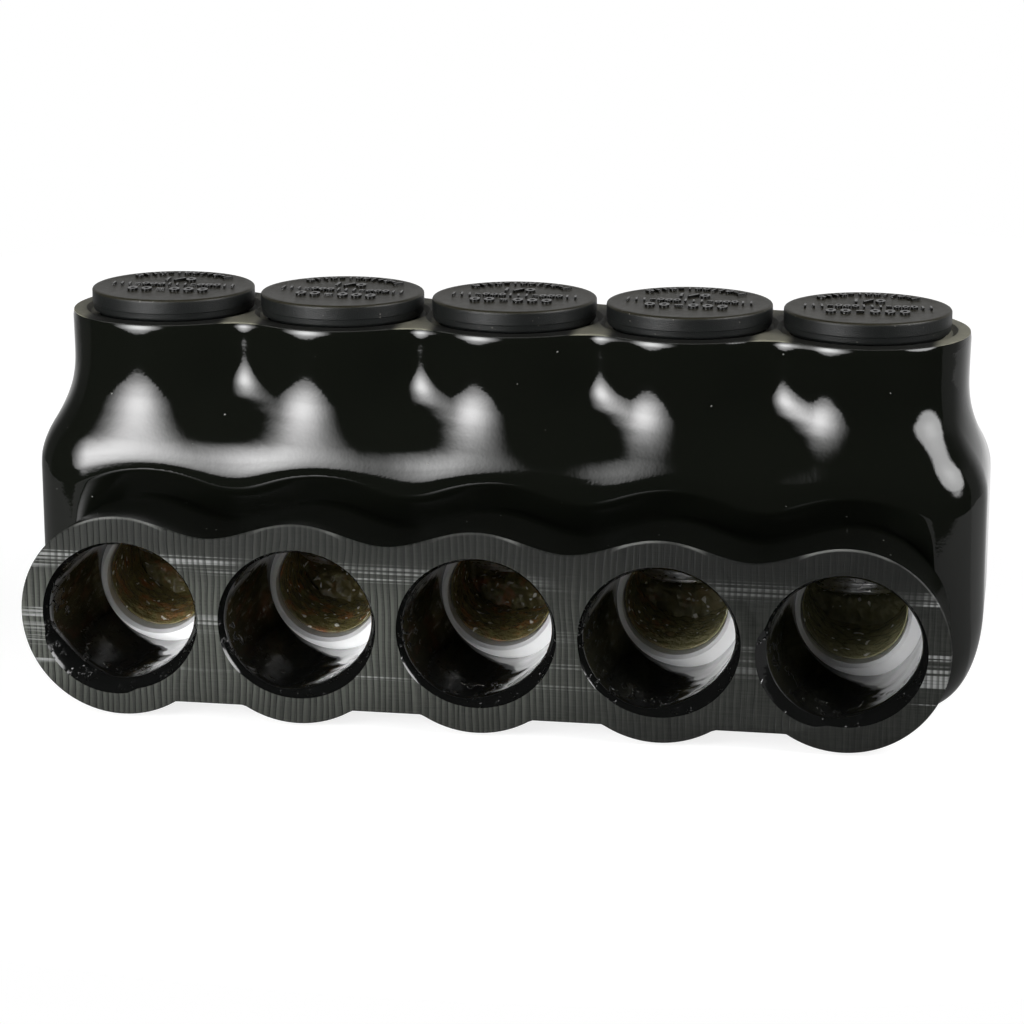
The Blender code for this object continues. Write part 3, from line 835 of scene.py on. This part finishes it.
def cover_normals(mesh, kinds):
    """Gives the dipped outside the normals of its true smooth form."""
    points = read_array(mesh.vertices, "co", width=3)
    centres = read_array(mesh.polygons, "center", width=3)
    corners = read_array(mesh.loops, "vertex_index", int)
    totals = read_array(mesh.polygons, "loop_total", int)
    on_sleeve = np.abs(sleeve_distance(centres)) < np.abs(body_distance(centres))
    true = [slope(distance, points)[corners] for distance in (body_distance, sleeve_distance)]
    normals = np.where(np.repeat(on_sleeve, totals)[:, None], true[1], true[0])
    normals /= np.maximum(np.linalg.norm(normals, axis=1, keepdims=True), 1e-9)
    outside = np.repeat(kinds == DIPPED, totals) & (points[corners][:, 2] > 1e-5)
    normals = np.where(outside[:, None], normals, 0.0)
    mesh.normals_split_custom_set([tuple(n) for n in normals])


def make_cover():
    """The dipped cover in one piece, hollow for the block, the ports and the towers."""
    cover = body_skin()
    combine(cover, [sleeve_skin()], "UNION")
    cutters = [eased_block(FIT_GAP)]
    for tap, knife_cut in zip(TAP_X, KNIFE_CUTS):
        cutters += [port_room(tap, knife_cut), tower_well(tap)]
    combine(cover, cutters)
    kinds = face_kinds(cover.data)
    finish_piece(cover, "connector", "dipped_cover", "insulating_cover", GLOSS, SAWN, WALL, RIM)
    cover.data.polygons.foreach_set("material_index", kinds)
    smooth_but_sharp(cover, 35)
    cover_normals(cover.data, kinds)


# Metal

DRILL_SLOPE = math.tan(math.radians(59))
THREAD_PITCH, THREAD_DEPTH, TIP_EASE = 0.0018, 0.0009, 0.0014
KEY_ACROSS_FLATS, KEY_DEPTH = 0.0127, 0.014


def make_block():
    """The tap block, with a chamfered blind bore and a chamfered screw hole for each tap."""
    block = eased_block(0.0)
    chamfer = 0.0009
    depth = BLOCK_BACK - BLOCK_FRONT - 0.0065
    point = BORE_RADIUS / DRILL_SLOPE
    start = FACE_Y - BLOCK_FRONT
    cutters = []
    for tap in TAP_X:
        profile = [
            (BORE_RADIUS + chamfer + 0.002, start + 0.002),
            (BORE_RADIUS, start - chamfer),
            (BORE_RADIUS, start - depth + point),
            (0.0, start - depth),
        ]
        cutters.append(new_object("bore", turned(profile), along_bore(tap)))
        profile = [
            (SCREW_RADIUS + 0.0023, BLOCK_TOP + 0.002),
            (SCREW_RADIUS + FIT_GAP, BLOCK_TOP - 0.0003),
            (SCREW_RADIUS + FIT_GAP, BORE_Z),
        ]
        cutters.append(new_object("hole", turned(profile), in_tower(tap)))
    combine(block, cutters)
    block.name = "tap_block_metal"
    smooth_but_sharp(block)
    finish_piece(block, "connector", "bare_aluminium", "tap_block", METAL)


def make_screw(number):
    """A set screw with a rolled thread and a hexagon socket."""
    low, high = SCREW_BOXES[number - 1]
    levels = np.linspace(low.z, high.z, 112)
    shape = turned([(SCREW_RADIUS, float(z)) for z in levels], 72)
    for vertex in shape.verts:
        radius = math.hypot(vertex.co.x, vertex.co.y)
        if radius < SCREW_RADIUS / 2:
            continue
        turn = math.atan2(vertex.co.y, vertex.co.x) / math.tau
        phase = (vertex.co.z / THREAD_PITCH + turn + number * 0.37) % 1.0
        tooth = min(1, max(0, abs(phase - 0.5) * 2.9 - 0.2))
        edge = min(vertex.co.z - low.z, high.z - vertex.co.z)
        limit = SCREW_RADIUS - max(0, TIP_EASE - edge)
        widen(vertex, min(limit, SCREW_RADIUS - THREAD_DEPTH * tooth) / radius)
    tap = TAP_X[number - 1]
    screw = new_object(f"set_screw_{number}_threaded", shape, in_tower(tap))
    key = bmesh.new()
    place = Matrix.Translation((tap, SCREW_Y, high.z - 0.005)) @ Matrix.Rotation(0.4 * number, 4, "Z")
    add_round(key, 6, KEY_ACROSS_FLATS / 2 / math.cos(math.pi / 6), KEY_DEPTH, place)
    combine(screw, [new_object("key", key)])
    smooth_but_sharp(screw, 40)
    finish_piece(screw, f"screw_{number}", "screw_aluminium", f"set_screw_{number}", SCREW_METAL)


# Paste

SCREW_PATH, LOWEST_PATH = SCREW_RADIUS + 0.0004, -0.0038
END_FILL, FILM, BED, MOUTH_FADE = 0.0035, 0.0003, 0.0014, 0.004


def lump(number, *waves):
    """A few waves added up, between about -1 and 1, different for each bore."""
    total = 0.0
    for index, (coordinate, length) in enumerate(waves):
        total += math.sin(coordinate / length * math.tau + number * 1.9 + index * 2.3)
    return total / len(waves)


def make_paste(number):
    """Paste in one bore: a lumpy film on the wall, deeper along the bottom and at the blind end."""
    low, high = PASTE_BOXES[number - 1]
    tap = TAP_X[number - 1]
    mouth = FACE_Y - low.y
    point = PASTE_RADIUS / DRILL_SLOPE
    tip = FACE_Y - high.y
    floor = tip + point + END_FILL
    film = PASTE_RADIUS - FILM
    profile = [(float(r), floor) for r in np.linspace(0.0008, film, 16)]
    profile += [(film, float(h)) for h in np.linspace(floor + 0.0008, mouth - 0.0002, 30)]
    profile += [(PASTE_RADIUS, mouth)]
    profile += [(PASTE_RADIUS, float(h)) for h in np.linspace(mouth - MOUTH_FADE, tip + point, 6)]
    profile += [(0.0, tip)]
    shape = turned(profile, 84)
    for vertex in shape.verts:
        radius = math.hypot(vertex.co.x, vertex.co.y)
        if radius > film + 1e-5 or vertex.co.z < floor - 1e-5:
            continue
        across, down, out = vertex.co.x, -vertex.co.y, vertex.co.z
        turn = math.atan2(across, down)
        waves = (across, 0.0131), (out, 0.0093), (across + out, 0.0061), (down - across, 0.0047)
        ripples = (across - out, 0.0042), (down + out, 0.0035), (down, 0.0071)
        rough_a, rough_b = lump(number, *waves), lump(number + 3, *ripples)
        if vertex.co.z < floor + 1e-5:
            vertex.co.z += 0.0014 * rough_a + 0.0008 * rough_b + 0.0016 * max(0, down / film)
            continue
        fade = min(1, (mouth - out) / MOUTH_FADE)
        depth = BED * max(0, math.cos(turn)) ** 3
        thick = (depth + 0.0005 * (rough_a + rough_b) * max(0, math.cos(turn))) * fade
        widen(vertex, (film - max(0, thick)) / radius)
    bmesh.ops.transform(shape, matrix=along_bore(tap), verts=shape.verts)
    for vertex in shape.verts:
        dx, dy = vertex.co.x - tap, vertex.co.y - SCREW_Y
        away = math.hypot(dx, dy)
        height = vertex.co.z - BORE_Z
        if away < SCREW_PATH and height > LOWEST_PATH:
            wanted = SCREW_PATH / max(away, 1e-6)
            vertex.co.y = SCREW_Y + dy * wanted
            vertex.co.x = tap + dx * wanted
    paste = new_object(f"inhibitor_{number}_lumps", shape)
    paste.data.shade_smooth()
    finish_piece(paste, "connector", "inhibitor_paste", f"inhibitor_paste_{number}", PASTE)


# Caps

CAP_THICKNESS, CAP_TOP_EDGE, CAP_UNDER_EDGE = 0.0055, 0.0006, 0.0008
PLUG_WALL, PLUG_CLEARANCE, PLUG_BEAD = 0.003, 0.0004, 0.0002
CAP_DISH, MARK_RISE, MARK_ROOT = 0.00012, 0.00062, 0.00005
# How far each cap is turned, in degrees
CAP_TURNS = (2.0, -3.0, 1.0, -1.5, 3.0)


def add_mark(shape, kind, place, size, turn):
    """One raised mark: an upright bar, a short dash or an oval ring."""
    where = Matrix.Translation((place[0], place[1], 0.0)) @ Matrix.Rotation(turn, 4, "Z")
    if kind == "ring":
        oval = where @ Matrix.Diagonal((1, 1.5, 1, 1))
        made = bmesh.ops.create_circle(shape, cap_ends=False, segments=18, radius=size, matrix=oval)
        outer = list({e for v in made["verts"] for e in v.link_edges})
        inner = bmesh.ops.extrude_edge_only(shape, edges=outer)["geom"]
        centre = Vector((place[0], place[1], 0.0))
        for vertex in inner:
            if isinstance(vertex, bmesh.types.BMVert):
                vertex.co = centre + (vertex.co - centre) * 0.42
        return
    sides = (size * 0.55, size * 3.0) if kind == "bar" else (size * 1.5, size * 0.8)
    bmesh.ops.create_grid(
        shape, x_segments=1, y_segments=1, size=0.5, matrix=where @ Matrix.Diagonal((*sides, 1, 1))
    )


def cap_marks():
    """Rows of marks on a cap: an arc at the back, a group in the middle, a long row and a row of rings."""
    shape = bmesh.new()
    kinds = ("bar", "ring", "bar", "dash", "ring", "bar", "ring")
    for step in range(13):
        turn = math.radians(90 + (step - 6) * 7.8)
        place = (0.016 * math.cos(turn), 0.016 * math.sin(turn))
        add_mark(shape, kinds[(step * 3) % 7], place, 0.00092, turn - math.pi / 2)
    for step, kind in enumerate(("bar", "bar", "ring")):
        add_mark(shape, kind, ((step - 1) * 0.003, 0.0068), 0.00125, -0.6 if step == 1 else 0.0)
    for step in range(16):
        place = ((step - 7.5) * 0.00205, -0.0002 + 0.0002 * math.sin(step * 2.1))
        add_mark(shape, kinds[(step * 5 + 2) % 7], place, 0.00092, 0.12 * math.sin(step))
    for step in range(6):
        kind = "dash" if step == 2 else "ring"
        add_mark(shape, kind, ((step - 2.5) * 0.0036, -0.0066), 0.0013, 0.0)
    thick = bmesh.ops.extrude_face_region(shape, geom=shape.faces[:])["geom"]
    raised = {g for g in thick if isinstance(g, bmesh.types.BMVert)}
    rooted = [v for v in shape.verts if v not in raised]
    bmesh.ops.translate(shape, vec=Vector((0, 0, MARK_RISE)), verts=list(raised))
    bmesh.ops.translate(shape, vec=Vector((0, 0, -MARK_ROOT)), verts=rooted)
    bmesh.ops.recalc_face_normals(shape, faces=shape.faces)
    return shape


def cap_profile():
    """Half section of a cap from the top's middle round to the hollow, with its seat at height 0."""
    plug = TOWER_BORE - PLUG_CLEARANCE
    length = CAP_TOP - CAP_THICKNESS - CAP_BOXES[0][0].z
    top, side = CAP_THICKNESS, CAP_RADIUS
    line_at = 0.002
    profile = [(r, top - CAP_DISH) for r in (0.0, 0.006, 0.012, side - 0.0021)]
    profile += [(side - 0.0015, top), (side - CAP_TOP_EDGE, top)]
    profile += rounded_corner((side - CAP_TOP_EDGE, top - CAP_TOP_EDGE), CAP_TOP_EDGE, 90, 0, 4)[1:]
    profile += [(side, top - CAP_TOP_EDGE - 0.0003), (side, line_at + 0.0005), (side, line_at + 0.00012)]
    profile += [(side - 0.0001, line_at), (side - 0.00012, line_at - 0.00012)]
    profile += [(side - 0.00014, line_at - 0.0005)]
    profile += [(side - 0.0002, CAP_UNDER_EDGE + 0.0003), (side - 0.0002, CAP_UNDER_EDGE)]
    centre = (side - CAP_UNDER_EDGE - 0.0002, CAP_UNDER_EDGE)
    profile += rounded_corner(centre, CAP_UNDER_EDGE, 0, -90, 6)[1:]
    bead = -length / 2
    profile += [(plug, 0.0), (plug, bead + 0.001)]
    profile += rounded_corner((plug, bead), PLUG_BEAD, 60, -60, 4)
    profile += [(plug, bead - 0.001), (plug, -length + 0.0006), (plug - 0.0006, -length)]
    profile += [(plug - PLUG_WALL, -length), (plug - PLUG_WALL, -0.0004), (plug - PLUG_WALL - 0.0004, 0.0)]
    return profile


def make_cap(number):
    """An access cap with its raised marks."""
    tap = TAP_X[number - 1]
    shape = turned(cap_profile(), 128)
    turned_faces = len(shape.faces)
    marks = cap_marks()
    bmesh.ops.translate(marks, vec=Vector((0, 0, CAP_THICKNESS - CAP_DISH)), verts=marks.verts)
    loose = bpy.data.meshes.new("marks")
    marks.to_mesh(loose)
    marks.free()
    shape.from_mesh(loose)
    bpy.data.meshes.remove(loose)
    turn = Matrix.Rotation(math.radians(CAP_TURNS[number - 1]), 4, "Z")
    place = Matrix.Translation((tap, SCREW_Y, CAP_TOP - CAP_THICKNESS - CAP_SINK)) @ turn
    cap = new_object(f"access_cap_{number}_moulded", shape, place)
    smooth_but_sharp(cap, 38)
    finish_piece(cap, f"cap_{number}", "access_cap", f"access_cap_{number}", SATIN, MARKS)
    faces = cap.data.polygons
    faces.foreach_set("material_index", [int(n >= turned_faces) for n in range(len(faces))])


make_cover()
make_block()
for tap_number in NUMBERS:
    make_screw(tap_number)
    make_paste(tap_number)
    make_cap(tap_number)

# Studio

HOT_SPREAD = 0.5
LEFT_BOX, RIGHT_BOX, SOFTBOX_TARGET = (-0.284, -0.431, 0.182), (0.577, -0.176, 0.37), (0.0, 0.0, 0.06)
CAMERA_PLACE, CAMERA_TARGET, CAMERA_LENS = (0.12993, -0.75709, 0.24679), (0.00883, FACE_Y, 0.05612), 111.49


def aim(obj, place, target):
    """Puts a lamp or camera in place, looking at a point, and adds it to the scene."""
    obj.location = place
    obj.rotation_euler = (Vector(target) - Vector(place)).to_track_quat("-Z", "Y").to_euler()
    bpy.context.scene.collection.objects.link(obj)


def add_softbox(name, place, size, hot, even, edge, low, bow):
    """A round softbox: a hot middle on an even disc with a faded edge, and a bowl cut off its foot."""
    lamp = bpy.data.lights.new(name, "AREA")
    lamp.shape = "RECTANGLE"
    lamp.size, lamp.size_y = size
    lamp.energy = math.pi * size[0] * size[1]
    lamp.use_nodes = True
    nodes = lamp.node_tree.nodes
    across, up, _ = parted(nodes.new("ShaderNodeNewGeometry").outputs["Parametric"])
    squares = [times(off, off) for off in (minus(across, 0.5), minus(up, 0.5))]
    away = times(calc("SQRT", plus(*squares)), 2.0)
    core = calc("EXPONENT", times(away, away, -1 / HOT_SPREAD**2))
    level = times(plus(times(core, hot), even), ramp(away, 1.0, 1.0 - edge))
    bowl = minus(up, times(squares[0], bow))
    level = times(level, ramp(bowl, low - 0.02, low + 0.02))
    join(level, nodes["Emission"].inputs["Strength"])
    aim(bpy.data.objects.new(name, lamp), place, SOFTBOX_TARGET)


def backdrop(way, edge):
    """The white backdrop's level in a direction: none in front of the object, white straight behind it."""
    x, y, z = parted(way)
    level = plus(ramp(x, -0.9, 0.9, 0.05, 0.14), ramp(y, 0.45, 0.95, 0.0, 0.58))
    return times(ramp(y, edge, edge + 0.015), ramp(z, 0.3, 0.65, 1.0, 0.0), level)


def make_world():
    """White to the camera; round the object, a white backdrop behind and a dark room in front and above."""
    world = bpy.data.worlds.new("studio")
    bpy.context.scene.world = world
    world.use_nodes = True
    tree = world.node_tree
    tree.nodes.clear()
    way = tree.nodes.new("ShaderNodeTexCoord").outputs["Generated"]
    paths = tree.nodes.new("ShaderNodeLightPath").outputs
    seen = calc("MAXIMUM", paths["Is Camera Ray"], plus(backdrop(way, 0.115), 0.014))
    sky = add_node(tree, "ShaderNodeBackground", {"Color": (1, 1, 1, 1), "Strength": seen})
    add_node(tree, "ShaderNodeOutputWorld", {"Surface": sky.outputs[0]})


def make_floor():
    """A pale disc for the object's shadow, white to the camera and, behind, to reflections; to the camera it
    glows less near the object, a painted shadow round it.
    """
    shape = bmesh.new()
    bmesh.ops.create_circle(shape, cap_ends=True, segments=96, radius=0.45)
    floor = new_object("floor", shape, Matrix.Translation((0, 0.25, -0.0002)))
    material = bpy.data.materials.new("pale_floor")
    material.use_nodes = True
    tree = material.node_tree
    tree.nodes.clear()
    place = tree.nodes.new("ShaderNodeTexCoord").outputs["Object"]
    paths = tree.nodes.new("ShaderNodeLightPath").outputs
    away = add_node(tree, "ShaderNodeVectorMath", {0: place}, operation="LENGTH").outputs["Value"]
    way = add_node(tree, "ShaderNodeVectorMath", {0: place}, operation="NORMALIZE").outputs["Vector"]
    # The glow to the camera is weaker near the object: a painted shadow round it.
    seen = times(paths["Is Camera Ray"], ramp(away, 0.13, 0.4, 0.82, 0.98))
    mirrored = times(paths["Is Glossy Ray"], backdrop(way, 0.085))
    paper = add_node(tree, "ShaderNodeBsdfDiffuse", {"Color": (0.3, 0.3, 0.3, 1)})
    glow = add_node(tree, "ShaderNodeEmission", {"Color": (1, 1, 1, 1), "Strength": plus(seen, mirrored)})
    both = add_node(tree, "ShaderNodeAddShader", {0: paper.outputs[0], 1: glow.outputs[0]})
    add_node(tree, "ShaderNodeOutputMaterial", {"Surface": both.outputs[0]})
    floor.data.materials.append(material)


def make_camera():
    """The photograph's viewpoint."""
    lens = bpy.data.cameras.new("camera")
    lens.sensor_width = 36.0
    lens.lens = CAMERA_LENS
    lens.clip_start, lens.clip_end = 0.01, 20.0
    camera = bpy.data.objects.new("camera", lens)
    bpy.context.scene.camera = camera
    aim(camera, CAMERA_PLACE, CAMERA_TARGET)


make_world()
make_floor()
make_camera()
add_softbox("softbox_left", LEFT_BOX, (0.652, 0.615), hot=18.5, even=0, edge=0.24, low=0.165, bow=1.6)
add_softbox("softbox_right", RIGHT_BOX, (0.5, 0.56), hot=3.4, even=7.5, edge=0.25, low=0, bow=0)
bpy.context.scene.view_settings.view_transform = "Standard"
